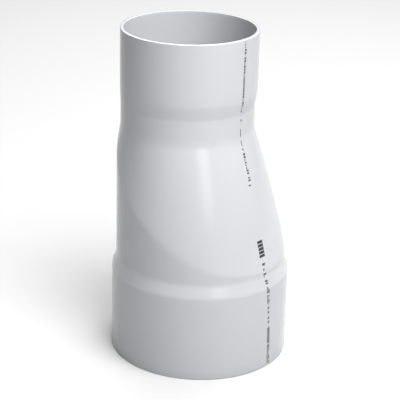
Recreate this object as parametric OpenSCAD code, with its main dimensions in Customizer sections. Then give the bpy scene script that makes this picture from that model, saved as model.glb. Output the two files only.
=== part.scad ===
// Eccentric duct reducer, 200 mm to 150 mm, thermoformed from one length of PVC-U pipe.
// The large socket stands on z = 0 with its axis on Z. The small socket is offset towards -X,
// so that the wall on the -X side runs straight up and the slope faces +X.

/* [Large socket] */
// Outside diameter of the pipe that the large socket takes
large_pipe_d = 200; // [196:1:204]
// Clearance on the diameter between the large socket and its pipe
large_clearance = 0.3; // [0.1:0.1:0.8]
// Wall of the large socket
large_wall = 4.85; // [4:0.05:6]
// Depth of the large socket, up to the start of its shoulder
large_depth = 102.5; // [95:0.5:110]
// Height of the shoulder between the large socket and the body
shoulder_h = 14; // [12:0.5:18]
// Bend radius at the foot and the head of the shoulder
shoulder_bend_r = 12; // [8:1:16]

/* [Small socket] */
// Outside diameter of the pipe that the small socket takes
small_pipe_d = 150; // [149:0.5:152]
// Clearance on the diameter between the small socket and its pipe
small_clearance = 0.3; // [0.1:0.1:0.8]
// Wall of the small socket
small_wall = 3.85; // [3.5:0.05:4.5]
// Depth of the small socket, down to the start of its taper
small_depth = 71; // [65:0.5:75]
// Height of the taper between the small socket and the neck
small_taper = 16; // [12:0.5:18]

/* [Body] */
// Overall height
overall_h = 387; // [383:1:395]
// Outside radius of the body, the unchanged pipe
body_r = 100; // [99.5:0.1:101]
// Outside radius of the neck below the small socket
neck_r = 77.4; // [77:0.1:78]
// How far the neck lies inside the line of the straight side
neck_inset = 0.6; // [0.4:0.1:1]
// Wall of the body and the neck
body_wall = 4.6; // [4.2:0.1:5]

/* [Slope] */
// Height at which the neck would meet the cone if their joint were sharp
slope_top = 271.5; // [268:0.5:275]
// Radius gained by the cone for each millimetre down
slope_rate = 0.315; // [0.31:0.005:0.325]
// Radius of the soft bend from the neck into the cone
neck_bend_r = 75; // [60:5:90]
// How far the neck keeps its own round below the top of the slope
neck_reach = 40; // [35:1:45]
// Width of the soft ridge where the cone runs out on the round body
ridge_w = 12; // [10:0.5:14]

/* [Mouths] */
// Chamfer on the outside of the two mouths
mouth_chamfer = 0.8; // [0.5:0.1:1.2]

/* [Hidden] */
$fn = 180;

// Solids between the body and the cone that soften the ridge, the cone itself included
ridge_steps = 3;
// Height above the shoulder over which the ridge fades out
ridge_fade = 20;
// Straight pieces in the bend from the neck into the cone, and in each shoulder bend
neck_bend_steps = 5;
shoulder_bend_steps = 3;
// Radius that stays clear of the large socket
clear_r = 2 * body_r;
// How far a hollow runs out past the mouth that it opens
slip = 1;

large_bore_r = (large_pipe_d + large_clearance) / 2;
large_r = large_bore_r + large_wall;
small_bore_r = (small_pipe_d + small_clearance) / 2;
small_r = small_bore_r + small_wall;
small_x = small_r - body_r;
neck_x = neck_r + neck_inset - body_r;

shoulder_top = large_depth + shoulder_h;
taper_top = overall_h - small_depth;
taper_foot = taper_top - small_taper;

slope_angle = atan(slope_rate);
bend_top = slope_top + neck_bend_r * tan(slope_angle / 2);
bend_foot = bend_top - neck_bend_r * sin(slope_angle);

// Radius of the neck and the cone at height z, about the neck's own axis
function cone_r(z) =
    z >= bend_top ? neck_r
    : z > bend_foot ? neck_r + neck_bend_r - sqrt(neck_bend_r ^ 2 - (bend_top - z) ^ 2)
    : neck_r + slope_rate * (slope_top - z);

// Radius at height z of the solid that stands a share of the way from the body to the cone.
// It is drawn in a little, which rounds the ridge, but not at the head of the shoulder.
function between_r(share, z) =
    let (
        fade = min(1, (z - shoulder_top) / ridge_fade),
        drawn_in = ridge_w * share * (1 - share) * fade
    )
    share * cone_r(z) + (1 - share) * body_r - drawn_in;

// Heights of the points on the outline of the cone, from the bottom up
slope_z = concat(
    [shoulder_top, shoulder_top + ridge_fade],
    [for (i = [0:neck_bend_steps])
        bend_foot + (bend_top - bend_foot) * i / neck_bend_steps],
    [taper_foot]
);

// Corner b of the path a, b, c rounded to radius r, as points along the arc
function bend(a, b, c, r) =
    let (
        to_a = (a - b) / norm(a - b),
        to_c = (c - b) / norm(c - b),
        half = acos(to_a * to_c) / 2,
        centre = b + (to_a + to_c) / norm(to_a + to_c) * r / sin(half),
        first = b + to_a * r / tan(half) - centre,
        last = b + to_c * r / tan(half) - centre,
        from = atan2(first.y, first.x),
        turn = atan2(last.y, last.x) - from,
        sweep = turn > 180 ? turn - 360 : turn < -180 ? turn + 360 : turn
    )
    [for (i = [0:shoulder_bend_steps])
        let (angle = from + sweep * i / shoulder_bend_steps)
        centre + r * [cos(angle), sin(angle)]];

// Large socket, shoulder and straight body, turned from an outline. The list mouth holds the
// outline's points at the open end, from the axis outwards.
module large_end(mouth, upper_r) {
    side = mouth[len(mouth) - 1];
    low = [side.x, large_depth];
    high = [upper_r, shoulder_top];
    end = [upper_r, taper_foot];
    rotate_extrude()
        polygon(concat(
            mouth,
            bend(side, low, high, shoulder_bend_r),
            bend(low, high, end, shoulder_bend_r),
            [end, [0, taper_foot]]
        ));
}

// One of the solids between the body (share 0) and the cone (share 1)
module between(share, inset) {
    translate([neck_x * share, 0, 0])
        rotate_extrude()
            polygon(concat(
                [[0, -slip], [clear_r, -slip], [clear_r, large_depth]],
                [for (z = slope_z) [between_r(share, z) - inset, z]],
                [[0, taper_foot]]
            ));
}

// The neck, which starts inside the slope
module neck(radius) {
    foot = slope_top - neck_reach;
    translate([neck_x, 0, foot])
        cylinder(h = taper_foot - foot, r = radius);
}

// The pipe from the large mouth up to the neck. The cone takes off what stands outside it, and
// the solids between the body and the cone round the ridge that it leaves.
module formed_pipe(mouth, inset) {
    intersection() {
        large_end(mouth, body_r - inset);
        intersection_for (i = [1:ridge_steps])
            between(i / ridge_steps, inset);
    }
    neck(neck_r - inset);
}

// The taper leans from the neck's axis to the small socket's axis
module taper(low_r, high_r) {
    lean = (small_x - neck_x) / small_taper;
    translate([neck_x, 0, taper_foot])
        multmatrix([[1, 0, lean, 0], [0, 1, 0, 0], [0, 0, 1, 0], [0, 0, 0, 1]])
            cylinder(h = small_taper, r1 = low_r, r2 = high_r);
}

module small_end() {
    rim_r = small_r - mouth_chamfer;
    translate([small_x, 0, 0])
        rotate_extrude()
            polygon([
                [0, taper_top],
                [small_r, taper_top],
                [small_r, overall_h - mouth_chamfer],
                [rim_r, overall_h],
                [0, overall_h]
            ]);
}

module outside() {
    formed_pipe([[0, 0], [large_r - mouth_chamfer, 0], [large_r, mouth_chamfer]], 0);
    taper(neck_r, small_r);
    small_end();
}

module inside() {
    formed_pipe([[0, -slip], [large_bore_r, -slip]], body_wall);
    taper(neck_r - body_wall, small_bore_r);
    translate([small_x, 0, taper_top])
        cylinder(h = small_depth + slip, r = small_bore_r);
}

module duct_reducer() {
    color("#d9dbde")
        difference() {
            outside();
            inside();
        }
}

duct_reducer();
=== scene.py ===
# %% [markdown]
# # An eccentric duct reducer in Blender
# This lesson dresses a ventilation fitting for a product picture. The fitting takes a 200 mm
# duct down to a 150 mm one, and one of its sides stays straight. It is one piece of PVC-U pipe:
# the maker heats a length of it and presses the two ends and the slope over a mould.
#
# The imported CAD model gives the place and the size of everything. Its bends are made of short
# straight cones, and its inclined ridge lies a little higher than in the photograph. So we model
# the wall again with truly soft bends and the ridge in its place, give it the look of extruded
# and formed plastic, print the line of marks on it, and light it as a studio would.

# %% Load the CAD frame
import math
import random

import bmesh
import bpy
from mathutils import Matrix, Vector


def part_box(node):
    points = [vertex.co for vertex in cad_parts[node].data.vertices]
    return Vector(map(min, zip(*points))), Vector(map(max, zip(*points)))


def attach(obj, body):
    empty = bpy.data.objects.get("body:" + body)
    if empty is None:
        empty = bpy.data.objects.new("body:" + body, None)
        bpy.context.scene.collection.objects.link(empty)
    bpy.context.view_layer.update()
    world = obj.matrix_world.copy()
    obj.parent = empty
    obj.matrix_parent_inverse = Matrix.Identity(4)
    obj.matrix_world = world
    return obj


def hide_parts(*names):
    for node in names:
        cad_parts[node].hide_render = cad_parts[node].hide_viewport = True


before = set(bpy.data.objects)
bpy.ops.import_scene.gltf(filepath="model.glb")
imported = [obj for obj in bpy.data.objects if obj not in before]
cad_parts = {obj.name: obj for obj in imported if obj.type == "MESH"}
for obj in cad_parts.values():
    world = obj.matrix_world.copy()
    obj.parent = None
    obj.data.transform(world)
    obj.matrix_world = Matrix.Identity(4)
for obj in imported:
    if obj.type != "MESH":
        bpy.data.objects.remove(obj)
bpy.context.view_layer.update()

MM = 0.001

# %% [markdown]
# ## The camera
# A product picture like this one is taken from far away with a long lens, so that the upright
# sides stay nearly parallel. The camera stands 30 degrees round from the front of the fitting
# and looks down on it by 22 degrees, enough to look into the small socket. The picture leans by
# a degree and a half, so the camera does too.
#
# Blender's camera looks along its own -Z. A constraint could aim it at the fitting, but a matrix
# also holds the lean. We tip the camera up towards the horizon, turn it round by the azimuth, and
# lean it about its own line of sight before either, because the matrix furthest to the right is
# applied first.

# %% Place the camera
SENSOR_WIDTH = 36.0
LENS = 124.08
AZIMUTH = math.radians(29.96)
PITCH = math.radians(21.61)
LEAN = math.radians(1.5)
CAMERA_PLACE = Vector((0.7500, -1.3052, 0.7780))


def make_camera():
    """The scene's camera, placed and turned by one matrix."""
    data = bpy.data.cameras.new("camera")
    data.lens = LENS
    data.sensor_width = SENSOR_WIDTH
    camera = bpy.data.objects.new("camera", data)
    bpy.context.scene.collection.objects.link(camera)
    turn = Matrix.Rotation(AZIMUTH, 4, "Z")
    tip = Matrix.Rotation(math.pi / 2 - PITCH, 4, "X")
    lean = Matrix.Rotation(LEAN, 4, "Z")
    camera.matrix_world = Matrix.Translation(CAMERA_PLACE) @ turn @ tip @ lean
    bpy.context.scene.camera = camera


make_camera()
print("The camera is", round(CAMERA_PLACE.length, 2), "m away")

# %% [markdown]
# ## The form as a formula
# Each level of the fitting is one round, or two that meet. Low down there is only the pipe's
# own round about the Z axis. Higher up, a cone cuts into it. The cone widens downwards from the
# neck, a little less with each millimetre, and its middle drifts to +X on the way. Where it runs
# out on the pipe's wall it leaves an inclined ridge that the heat has softened at the front.
#
# This could be modelled with loops placed by hand. A formula is shorter and exact: for each
# direction seen from the neck's axis it knows the distance to the pipe's wall and to the cone's
# wall, and takes the smaller one, eased where the two are nearly equal. The same easing rounds
# every bend of the wall, and a wider easing gives a softer bend. Sizes are in millimetres here,
# as a maker has them, and become metres when the mesh is pressed into shape.

# %% Ease one length into another


def soft_min(a, b, width):
    """The smaller of a and b, eased where they differ by less than width."""
    share = min(1, max(0, 0.5 + (b - a) / (2 * width)))
    return b + (a - b) * share - width * share * (1 - share)


def soft_max(a, b, width):
    """The larger of a and b, eased in the same way."""
    return -soft_min(-a, -b, width)


def ramp(value, start, end):
    """How far value has come from start to end, from 0 to 1."""
    return min(1, max(0, (value - start) / (end - start)))


print("Eased corner of 1 and 1:", soft_min(1, 1, 0.4))

# %% [markdown]
# The wall has an outer and an inner face, so the radii come in pairs. The two sockets are
# measured by the pipes that they take, and the rest of the wall follows the mould. The height
# comes from the CAD node, so that the mesh fills the same box.

# %% Sizes of the two faces of the wall, in millimetres
# radius about the axis of its own part
OUTER = {"large": 105.0, "body": 100.0, "neck": 77.4, "small": 79.0}
INNER = {"large": 100.15, "body": 95.4, "neck": 72.8, "small": 75.15}

# heights from the lower mouth
SHOULDER = (102.5, 116.5)
TAPER = (300.0, 316.0)
SLOPE_TOP = 271.7
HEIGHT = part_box("duct_reducer")[1].z / MM

# how much wider the slope gets for each millimetre down, how that wanes, and its drift to +X
SLOPE_RATE = 0.261
SLOPE_WANING = 0.00036
SLOPE_DRIFT = 0.0967

# where the axes of the neck and of the small socket stand
NECK_X = -22.0
SMALL_X = -21.0

# how far each bend is eased
SHOULDER_EASE = 0.8
SLOPE_EASE = 6.5
TAPER_FOOT_EASE = 0.15
TAPER_HEAD_EASE = 0.6

# the ridge: its easing on both sides, how narrow the soft front is, and where it fades out
RIDGE_EASE_BACK = 1.0
RIDGE_EASE_FRONT = 6.4
FRONT_NARROWNESS = 6
RIDGE_START = (116.5, 136.5)
RIDGE_END = (250.0, 285.0)
LEAST_EASE = 0.5

print("Wall in mm:", {part: round(OUTER[part] - INNER[part], 2) for part in OUTER})

# %% The pipe's round and the cone's round


def pipe_radius(face, height):
    """Radius of the large socket, the shoulder and the body about the Z axis."""
    share = (height - SHOULDER[0]) / (SHOULDER[1] - SHOULDER[0])
    shoulder = face["large"] + (face["body"] - face["large"]) * share
    below = soft_min(face["large"], shoulder, SHOULDER_EASE)
    return soft_max(below, face["body"], SHOULDER_EASE)


def slope_drop(height):
    """How far a height lies below the top of the slope. It is 0 above, with a soft start."""
    return soft_max(SLOPE_TOP - height, 0, SLOPE_EASE)


def cone_radius(face, height):
    """Radius of the slope, the neck and the small socket, each about its own middle."""
    drop = slope_drop(height)
    if drop > 0:
        return face["neck"] + SLOPE_RATE * drop - SLOPE_WANING * drop**2
    share = (height - TAPER[0]) / (TAPER[1] - TAPER[0])
    taper = face["neck"] + (face["small"] - face["neck"]) * share
    widened = soft_max(face["neck"], taper, TAPER_FOOT_EASE)
    return soft_min(widened, face["small"], TAPER_HEAD_EASE)


for height in (0, 109.5, 200, 290, 387):
    radii = (pipe_radius(OUTER, height), cone_radius(OUTER, height))
    print("At", height, "mm:", [round(radius, 1) for radius in radii])

# %% Where a point of the wall lies
def axis_x(height):
    """Where the neck's axis stands. In the taper it leans over to the small socket's axis."""
    return NECK_X + (SMALL_X - NECK_X) * ramp(height, *TAPER)


def reach(radius, offset, angle):
    """From the neck's axis to a round of this radius whose middle lies offset to +X of it."""
    return offset * math.cos(angle) + math.sqrt(radius**2 - (offset * math.sin(angle)) ** 2)


def wall_point(face, angle, height, proud=0.0):
    """A point of the wall, in metres, at an angle seen from the neck's axis."""
    centre = axis_x(height)
    radius = reach(pipe_radius(face, height), -centre, angle)
    if height > SHOULDER[1]:
        cone = reach(cone_radius(face, height), SLOPE_DRIFT * slope_drop(height), angle)
        front = ((1 + math.cos(angle)) / 2) ** FRONT_NARROWNESS
        ease = RIDGE_EASE_BACK + (RIDGE_EASE_FRONT - RIDGE_EASE_BACK) * front
        fade = ramp(height, *RIDGE_START) * (1 - ramp(height, *RIDGE_END))
        radius = soft_min(radius, cone, max(LEAST_EASE, ease * fade))
    if height > RIDGE_END[1]:
        radius = cone
    radius += proud
    return Vector((centre + radius * math.cos(angle), radius * math.sin(angle), height)) * MM


straight_side = wall_point(OUTER, math.pi, 200)
print("The straight side stands at x =", round(straight_side.x / MM, 1), "mm")

# %% [markdown]
# ## The wall
# The real fitting starts as a length of plain pipe, and so does the mesh. We make one ring and
# extrude it again and again, up the outside, over the rim, down the inside and back under the
# lower mouth. After each step every vertex is pressed out or in to the place that the formula
# gives, as the mould does with the warm pipe. Rings stand close together where the wall bends
# and far apart where it runs straight.
#
# The last ring falls on the first, so merging the doubles closes the wall. The sawn edges of
# both mouths get a small bevel, because a perfectly sharp edge catches no light.

# %% Heights of the rings
LEVEL_STEPS = [
    (0.0, 96.0, 12.0),
    (96.0, 124.0, 1.0),
    (124.0, 296.0, 2.0),
    (296.0, 320.0, 1.0),
    (320.0, 383.0, 9.0),
]


def ring_levels():
    levels = []
    for start, end, step in LEVEL_STEPS:
        levels += [start + step * index for index in range(round((end - start) / step))]
    return levels + [LEVEL_STEPS[-1][1], HEIGHT]


levels = ring_levels()
print(len(levels), "rings for each face of the wall")

# %% Press a ring of vertices onto the wall
def angle_of(vert, height):
    """The angle at which the neck's axis sees a vertex."""
    return math.atan2(vert.co.y, vert.co.x - axis_x(height) * MM)


def press(verts, old_height, face, height):
    for vert in verts:
        vert.co = wall_point(face, angle_of(vert, old_height), height)


# %% Extrude the wall ring by ring
SEGMENTS = 224
WELD = 0.001 * MM


def make_wall():
    """The rings in one closed walk. The first may have any radius, because it is pressed too."""
    bm = bmesh.new()
    verts = bmesh.ops.create_circle(bm, segments=SEGMENTS, radius=1)["verts"]
    bmesh.ops.translate(bm, verts=verts, vec=(axis_x(0) * MM, 0, 0))
    press(verts, 0, OUTER, 0)
    ring = list({edge for vert in verts for edge in vert.link_edges})
    stops = [(OUTER, height) for height in levels[1:]]
    stops += [(INNER, height) for height in reversed(levels)]
    stops += [(OUTER, 0)]
    old_height = 0
    for face, height in stops:
        made = bmesh.ops.extrude_edge_only(bm, edges=ring)["geom"]
        verts = {part for part in made if isinstance(part, bmesh.types.BMVert)}
        press(verts, old_height, face, height)
        edges = [part for part in made if isinstance(part, bmesh.types.BMEdge)]
        ring = [edge for edge in edges if verts.issuperset(edge.verts)]
        old_height = height
    bmesh.ops.remove_doubles(bm, verts=bm.verts, dist=WELD)
    return bm


wall = make_wall()
print(len(wall.verts), "vertices,", len(wall.faces), "faces")

# %% Round the sawn edges
OUTER_EDGE = 0.8
INNER_EDGE = 0.4
EDGE_SEGMENTS = 4
SHARP = math.radians(60)
TOUCH = 0.01 * MM


def on_face(vert, face):
    height = vert.co.z / MM
    place = wall_point(face, angle_of(vert, height), height)
    return (place - vert.co).length < TOUCH


def round_mouths(bm):
    sharp = [edge for edge in bm.edges if edge.calc_face_angle() > SHARP]
    for face, size in ((OUTER, OUTER_EDGE), (INNER, INNER_EDGE)):
        edges = [edge for edge in sharp if edge.is_valid and on_face(edge.verts[0], face)]
        bmesh.ops.bevel(
            bm, geom=edges, offset=size * MM, offset_type="OFFSET",
            segments=EDGE_SEGMENTS, profile=0.5, affect="EDGES", material=-1,
        )
        print("Rounded", len(edges), "edges by", size, "mm")


round_mouths(wall)
bmesh.ops.recalc_face_normals(wall, faces=wall.faces)
print("Plastic in the wall:", round(wall.calc_volume(signed=True) * 1e6), "cm3")

# %% [markdown]
# The volume is positive, so the normals point outwards, and it is close to the CAD model's
# 990 cm3. The next cell turns a finished mesh into an object.

# %% Turn a finished mesh into an object


def to_object(bm, name, material):
    """A smooth-shaded object at the origin, with its place in its mesh."""
    mesh = bpy.data.meshes.new(name)
    bm.to_mesh(mesh)
    bm.free()
    mesh.shade_smooth()
    mesh.materials.append(material)
    piece = bpy.data.objects.new(name, mesh)
    bpy.context.scene.collection.objects.link(piece)
    return piece


# %% [markdown]
# ## Materials
# A material is a short list of nodes, so one small function adds a node, sets it up and joins
# its inputs to the outputs of nodes made before it.

# %% Two helpers for materials


def linear(colour):
    """Turns an sRGB hex colour into the linear values that a shader works with."""
    parts = [int(colour[start : start + 2], 16) / 255 for start in (1, 3, 5)]
    lit = [part / 12.92 if part < 0.04045 else ((part + 0.055) / 1.055) ** 2.4 for part in parts]
    return (*lit, 1.0)


def add_node(tree, kind, inputs=None, **settings):
    """A node with its settings. An input that is given another node's output is linked to it."""
    node = tree.nodes.new(kind)
    for name, value in settings.items():
        setattr(node, name, value)
    for name, value in (inputs or {}).items():
        if isinstance(value, bpy.types.NodeSocket):
            tree.links.new(value, node.inputs[name])
        else:
            node.inputs[name].default_value = value
    return node


def new_material(name):
    material = bpy.data.materials.new(name)
    material.use_nodes = True
    material.node_tree.nodes.clear()
    return material


print("Middle grey, linear:", [round(part, 3) for part in linear("#777777")])

# %% [markdown]
# ## The plastic
# The fitting is light grey PVC-U. It leaves the extruder smooth and half glossy, with very fine
# lines along the pipe where the die drew it, and the forming leaves the wall faintly uneven. The
# first gives a highlight its soft streaks, and the second lets its edge wander a little.
#
# In the mesh, relief as low as this would take millions of faces, so both are bumps, made from
# noise in the object's own coordinates. The draw lines are noise with grains of 2.5 mm round the
# pipe, stretched along Z until each grain is a third of a metre long. The unevenness has swells
# of about 45 mm. Their heights are the real ones, a hundredth and a fifth of a millimetre. The
# same swells vary the roughness, as a moulded skin does.

# %% PVC-U, extruded and thermoformed
PVC_GREY = "#999a9d"
DRAW_LINES_PER_M = (400, 400, 3)
DRAW_LINE_HEIGHT = 0.01 * MM
SWELLS_PER_M = 22
SWELL_HEIGHT = 0.2 * MM
ROUGHNESS = (0.14, 0.2)
PVC_IOR = 1.54


def make_pvc():
    """Smooth and half glossy, so highlights are bright but have soft, faintly streaked edges."""
    material = new_material("PVC-U, extruded and thermoformed")
    tree = material.node_tree
    place = add_node(tree, "ShaderNodeTexCoord").outputs["Object"]
    stretch = {"Vector": place, "Scale": DRAW_LINES_PER_M}
    stretched = add_node(tree, "ShaderNodeMapping", stretch).outputs[0]
    lines = add_node(
        tree, "ShaderNodeTexNoise", {"Vector": stretched, "Scale": 1, "Detail": 2}
    ).outputs[0]
    swells = add_node(
        tree, "ShaderNodeTexNoise", {"Vector": place, "Scale": SWELLS_PER_M, "Detail": 1}
    ).outputs[0]
    uneven = add_node(
        tree, "ShaderNodeBump", {"Height": swells, "Strength": 1, "Distance": SWELL_HEIGHT}
    ).outputs[0]
    drawn = add_node(
        tree,
        "ShaderNodeBump",
        {"Height": lines, "Strength": 1, "Distance": DRAW_LINE_HEIGHT, "Normal": uneven},
    ).outputs[0]
    rough = add_node(
        tree,
        "ShaderNodeMapRange",
        {"Value": swells, "To Min": ROUGHNESS[0], "To Max": ROUGHNESS[1]},
    ).outputs[0]
    plastic = add_node(
        tree,
        "ShaderNodeBsdfPrincipled",
        {"Base Color": linear(PVC_GREY), "Roughness": rough, "IOR": PVC_IOR, "Normal": drawn},
    )
    add_node(tree, "ShaderNodeOutputMaterial", {"Surface": plastic.outputs[0]})
    return material


pvc = make_pvc()
print("Material:", pvc.name, "with", len(pvc.node_tree.nodes), "nodes")

# %% [markdown]
# The wall now stands for the CAD node, rides on the part's only body and wears the plastic.

# %% Put the wall on the frame
reducer_wall = to_object(wall, "reducer_wall", pvc)
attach(reducer_wall, "root")
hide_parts("duct_reducer")
print(reducer_wall.name, "has", len(reducer_wall.data.polygons), "faces")

# %% [markdown]
# ## The printed line
# A printer on the extrusion line marks the whole pipe, so a line of ink runs from mouth to mouth,
# a little to the left of where the slope faces. Here it is a plain pattern of bars, dashes and
# dots, 4 mm wide at most, with one wider block low on the slope.
#
# Where the warm pipe was stretched, the line bends with it. So its place is a short list of
# heights with the angle at which the neck's axis sees it, and the angle in between is read off.
# The ink could be a mask in the plastic's material. As a mesh it keeps crisp edges and stays in
# the exported model. Each mark is a small cube, divided and pressed onto the wall: its outer face
# stands a little proud, as a coat of ink does, and the rest is sunk so that no gap shows. The
# vertices between the two faces fall on their neighbours, and merging the doubles removes them.

# %% The route of the printed line
PRINT_ROUTE = [
    (0, -6.5), (52, -7.6), (82, -8.5), (130, -10.1), (160, -10.6),
    (220, -9.6), (228, -8.6), (270, -8.4), (296, -8.4), (304, -9.1),
    (336, -8.9), (356, -8.6), (387, -7.9),
]


def print_angle(height):
    for (low, start), (high, end) in zip(PRINT_ROUTE, PRINT_ROUTE[1:]):
        if height <= high:
            return math.radians(start + (end - start) * ramp(height, low, high))


print("At 100 mm the line lies at", round(math.degrees(print_angle(100)), 1), "degrees")

# %% Press one mark onto the wall
MARK_CUTS = 2
MARK_WIDTH = 4.2
INK_PROUD = 0.08
INK_SUNK = 0.3
PRINT_REACH = 110.0


def add_mark(bm, height, length, width=MARK_WIDTH, aside=0.0):
    """A mark whose middle is at a height, as long as it says and moved aside round the wall."""
    count = len(bm.verts)
    made = bmesh.ops.create_cube(bm, size=1)["verts"]
    edges = list({edge for vert in made for edge in vert.link_edges})
    bmesh.ops.subdivide_edges(bm, edges=edges, cuts=MARK_CUTS, use_grid_fill=True)
    bm.verts.ensure_lookup_table()
    for vert in bm.verts[count:]:
        level = height + vert.co.z * length
        angle = print_angle(level) + (aside + vert.co.y * width) / PRINT_REACH
        proud = INK_PROUD if vert.co.x > 0 else -INK_SUNK
        vert.co = wall_point(OUTER, angle, level, proud)


print("The marks stand", INK_PROUD, "mm proud of the wall")

# %% Rows of small bars
ROWS = [(4, 51), (83, 130), (220, 257), (308, 384)]
BAR = (1.2, 2.4)
BAR_GAP = (0.9, 1.5)
SPACE_CHANCE = 0.14
SPACE = 2.4
HALF_CHANCE = 0.3
HALF_WIDTH = 0.45 * MARK_WIDTH
HALF_ASIDE = -0.25 * MARK_WIDTH


def add_row(bm, start, end, luck):
    """Full and half-width bars from one height to another, with a space now and then."""
    height = start
    while height < end:
        length = luck.uniform(*BAR)
        if luck.random() < HALF_CHANCE:
            add_mark(bm, height + length / 2, length, HALF_WIDTH, HALF_ASIDE)
        else:
            add_mark(bm, height + length / 2, length)
        height += length + luck.uniform(*BAR_GAP)
        if luck.random() < SPACE_CHANCE:
            height += SPACE


marks = bmesh.new()
luck = random.Random(8)
for start, end in ROWS:
    add_row(marks, start, end, luck)
print("The rows have", len(marks.faces), "faces")

# %% Dashes, dots and the block
DASHES = [(267, 6), (278.5, 9)]
DASH_WIDTH = 0.35 * MARK_WIDTH
DOTS = [58, 63.5, 71, 76.5, 260, 293.5, 304.5]
DOT = 2.4
BLOCK = (139, 159)
BLOCK_BARS = 5
BLOCK_WIDTH = 8.5
BLOCK_INK = 0.8

for height, length in DASHES:
    add_mark(marks, height, length, DASH_WIDTH)
for height in DOTS:
    add_mark(marks, height, DOT, DOT)
pitch = (BLOCK[1] - BLOCK[0]) / BLOCK_BARS
for index in range(BLOCK_BARS):
    add_mark(marks, BLOCK[0] + pitch * (index + 0.5), pitch * BLOCK_INK, BLOCK_WIDTH)
bmesh.ops.remove_doubles(marks, verts=marks.verts, dist=WELD)
bmesh.ops.recalc_face_normals(marks, faces=marks.faces)
print("The whole print, with its doubles merged, has", len(marks.faces), "faces")

# %% [markdown]
# The ink is a solvent ink that bites into the plastic and dries dull. It is nearly black, and
# the coat is uneven at a scale of a millimetre, so some of it comes out a little greyer.

# %% Solvent ink
GRAINS_PER_M = 700
INK_DARK = "#0c1012"
INK_PALE = "#262b2d"
INK_ROUGHNESS = 0.5
INK_IOR = 1.5


def make_ink():
    """Dull and nearly black, with greyer grains, so it looks printed and not painted."""
    material = new_material("solvent ink, dark grey, printed")
    tree = material.node_tree
    place = add_node(tree, "ShaderNodeTexCoord").outputs["Object"]
    coat = add_node(tree, "ShaderNodeTexNoise", {"Vector": place, "Scale": GRAINS_PER_M})
    tone = add_node(
        tree,
        "ShaderNodeMix",
        {0: coat.outputs[0], 6: linear(INK_DARK), 7: linear(INK_PALE)},
        data_type="RGBA",
    )
    ink = add_node(
        tree,
        "ShaderNodeBsdfPrincipled",
        {"Base Color": tone.outputs[2], "Roughness": INK_ROUGHNESS, "IOR": INK_IOR},
    )
    add_node(tree, "ShaderNodeOutputMaterial", {"Surface": ink.outputs[0]})
    return material


printed_line = to_object(marks, "printed_line", make_ink())
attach(printed_line, "root")
print(printed_line.name, "wears", printed_line.active_material.name)

# %% [markdown]
# ## The floor
# The picture is taken on a plain pale sheet. A backdrop could curve up behind the fitting, but
# the camera looks down, so one flat sheet fills the whole picture. Its own grey is in the middle
# of the range, and the lights are strong enough to burn it out to white. A whiter sheet would
# throw so much light back up that the shaded side of the fitting lost its depth.

# %% Lay the floor
FLOOR_HALF = 8
FLOOR_GREY = 0.4


def make_floor():
    """Matt through and through, so the fitting throws a shadow on it but has no reflection."""
    material = new_material("studio paper, matt")
    tree = material.node_tree
    paper = add_node(
        tree, "ShaderNodeBsdfDiffuse", {"Color": (FLOOR_GREY, FLOOR_GREY, FLOOR_GREY, 1)}
    )
    add_node(tree, "ShaderNodeOutputMaterial", {"Surface": paper.outputs[0]})
    bm = bmesh.new()
    bmesh.ops.create_grid(bm, x_segments=1, y_segments=1, size=FLOOR_HALF)
    return to_object(bm, "floor", material)


floor = make_floor()
print("The floor is", round(floor.dimensions.x), "m wide")

# %% [markdown]
# ## The light
# The rim, the head of the shoulder and the slope all face a little upwards, and they are the
# brightest parts of the picture, while the side walls fall off into shade on the left. So most
# of the light comes from high up on the right. Two large softboxes stand there, one above the
# other, and a third fills in from the front.
#
# A small strip lower down does little but mirror itself in the slope, as the upright streak of
# light in the middle. The last softbox stands far back and keeps the sheet behind white.

# %% Hang the softboxes
LOOK_AT = Vector((0, 0, 0.19))
SOFTBOXES = {
    # name: azimuth, elevation, distance, size, power
    "high softbox": (-25, 62, 1.9, (1.6, 1.6), 60),
    "middle softbox": (-25, 48, 1.9, (1.4, 1.4), 35),
    "front softbox": (-50, 60, 1.9, (1.4, 1.4), 20),
    "low strip": (-36, 18, 1.7, (0.5, 0.6), 2.4),
    "background softbox": (110, 50, 2.8, (3.6, 2.4), 150),
}


def add_softbox(name, azimuth, elevation, distance, size, power):
    """An area light in a direction given in degrees, turned to face the fitting."""
    data = bpy.data.lights.new(name, "AREA")
    data.shape = "RECTANGLE"
    data.size, data.size_y = size
    data.energy = power
    lamp = bpy.data.objects.new(name, data)
    bpy.context.scene.collection.objects.link(lamp)
    azimuth, elevation = math.radians(azimuth), math.radians(elevation)
    level = math.cos(elevation)
    away = Vector((level * math.cos(azimuth), level * math.sin(azimuth), math.sin(elevation)))
    lamp.location = LOOK_AT + away * distance
    lamp.rotation_euler = away.to_track_quat("Z", "Y").to_euler()


for name, settings in SOFTBOXES.items():
    add_softbox(name, *settings)
print("Softboxes:", ", ".join(SOFTBOXES))

# %% [markdown]
# The room itself is almost dark. The Standard view keeps the tones as the lights give them, so
# that what is brighter than white burns out, as in the photograph.

# %% Room and view
ROOM_GREY = 0.02


def make_room():
    world = bpy.data.worlds.new("studio")
    world.use_nodes = True
    background = world.node_tree.nodes["Background"]
    background.inputs["Color"].default_value = (ROOM_GREY, ROOM_GREY, ROOM_GREY, 1)
    bpy.context.scene.world = world


make_room()
bpy.context.scene.view_settings.view_transform = "Standard"
print("View transform:", bpy.context.scene.view_settings.view_transform)
